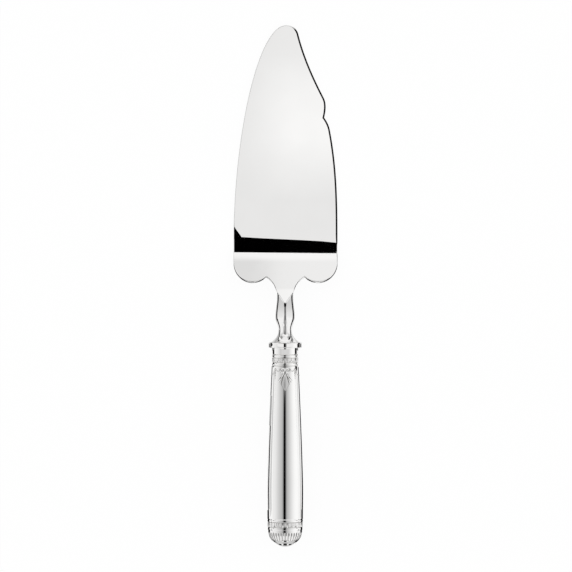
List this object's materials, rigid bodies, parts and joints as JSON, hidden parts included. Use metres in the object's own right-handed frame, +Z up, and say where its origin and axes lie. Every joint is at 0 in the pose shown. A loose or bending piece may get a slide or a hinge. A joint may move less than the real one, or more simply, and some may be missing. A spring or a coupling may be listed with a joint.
{
  "type": "cake server",
  "caption": "Silver-plated cake server: notched, cranked blade with scalloped heel on a ridged baluster neck, and a hollow turned handle with banded ferrule and gadrooned pommel.",
  "frame": {"origin": "on the blade's flat underside, on the handle's centre plane, where the flat ends and the bend begins", "axes": "+Y towards the blade's tip, the handle to -Y; +Z up off the table; the notched edge at +X"},
  "size_m": [0.0552, 0.2752, 0.021],
  "materials": {
    "blade_silver": "mirror-polished silver plate",
    "neck_silver": "polished silver plate",
    "handle_silver": "mirror-polished silver plate with slightly dulled recesses",
    "cement": "matt cast filler"
  },
  "bodies": {
    "root": {"blade": "blade_silver", "neck": "neck_silver", "collar": "neck_silver", "ferrule": "handle_silver", "handle_front": "handle_silver", "handle_back": "handle_silver", "pommel_cap": "handle_silver", "pommel_button": "handle_silver", "cement_core": "cement"}
  },
  "joints": []
}
